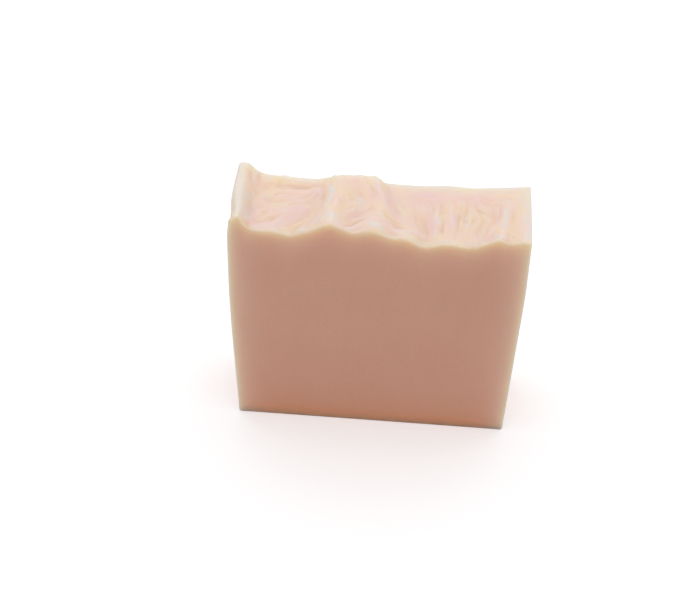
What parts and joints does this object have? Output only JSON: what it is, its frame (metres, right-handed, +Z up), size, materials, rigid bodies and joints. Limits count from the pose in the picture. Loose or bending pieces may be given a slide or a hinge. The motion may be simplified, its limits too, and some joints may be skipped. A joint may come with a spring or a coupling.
{
  "type": "bar of soap",
  "caption": "Upright slice of handmade soap for washing, with flat wire-cut faces, tapered moulded sides and a folded, hand-swirled top.",
  "frame": {"origin": "middle of the flat moulded underside, halfway between the two wire-cut faces", "axes": "+X along the width of the bar, +Y to the back cut face, +Z up to the swirled top"},
  "size_m": [0.08, 0.0254, 0.0698],
  "materials": {
    "soap": "satin, slightly translucent soap"
  },
  "bodies": {
    "root": {"soap_bar": "soap"}
  },
  "joints": []
}
